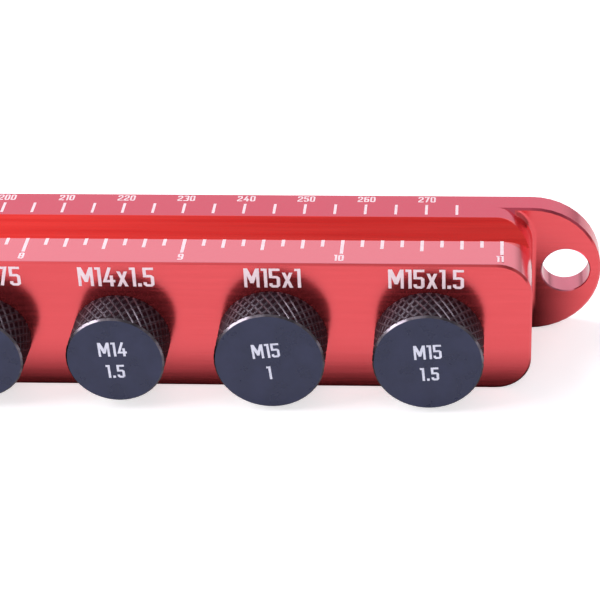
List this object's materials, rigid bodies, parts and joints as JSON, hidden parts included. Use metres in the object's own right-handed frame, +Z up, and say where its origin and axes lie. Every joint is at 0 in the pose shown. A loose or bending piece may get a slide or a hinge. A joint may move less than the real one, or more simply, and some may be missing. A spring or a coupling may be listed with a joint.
{
  "type": "axle gauge",
  "caption": "Anodised bar gauge with a trough and length scales for measuring axles, removable thread plug gauges in its front face and a hanging lug.",
  "frame": {"origin": "centre of the whole gauge's footprint, at the flat underside that it stands on", "axes": "+X along the bar to its hanging lug, +Y from the front face with the plug gauges to the back, +Z up, out of the face with the trough and scales"},
  "size_m": [0.299, 0.0292, 0.0235],
  "materials": {
    "bar": "red anodised, finely brushed along its length, satin",
    "plugs": "black oxide, fine-turned face and knurled rim",
    "marks": "white laser-cut scale marks and figures, matt"
  },
  "bodies": {
    "bar": {"bar": "bar"},
    "plug_m12x1": {"plug_m12x1": "plugs"},
    "plug_m12x1_5": {"plug_m12x1_5": "plugs"},
    "plug_m12x1_75": {"plug_m12x1_75": "plugs"},
    "plug_m14x1_5": {"plug_m14x1_5": "plugs"},
    "plug_m15x1": {"plug_m15x1": "plugs"},
    "plug_m15x1_5": {"plug_m15x1_5": "plugs"}
  },
  "joints": [
    {"name": "plug_m12x1_out", "type": "slide", "parent": "bar", "child": "plug_m12x1", "axis": [0, -1, 0], "range_m": [0, 0.0185]},
    {"name": "plug_m12x1_5_out", "type": "slide", "parent": "bar", "child": "plug_m12x1_5", "axis": [0, -1, 0], "range_m": [0, 0.0185]},
    {"name": "plug_m12x1_75_out", "type": "slide", "parent": "bar", "child": "plug_m12x1_75", "axis": [0, -1, 0], "range_m": [0, 0.0185]},
    {"name": "plug_m14x1_5_out", "type": "slide", "parent": "bar", "child": "plug_m14x1_5", "axis": [0, -1, 0], "range_m": [0, 0.0185]},
    {"name": "plug_m15x1_out", "type": "slide", "parent": "bar", "child": "plug_m15x1", "axis": [0, -1, 0], "range_m": [0, 0.0185]},
    {"name": "plug_m15x1_5_out", "type": "slide", "parent": "bar", "child": "plug_m15x1_5", "axis": [0, -1, 0], "range_m": [0, 0.0185]}
  ]
}
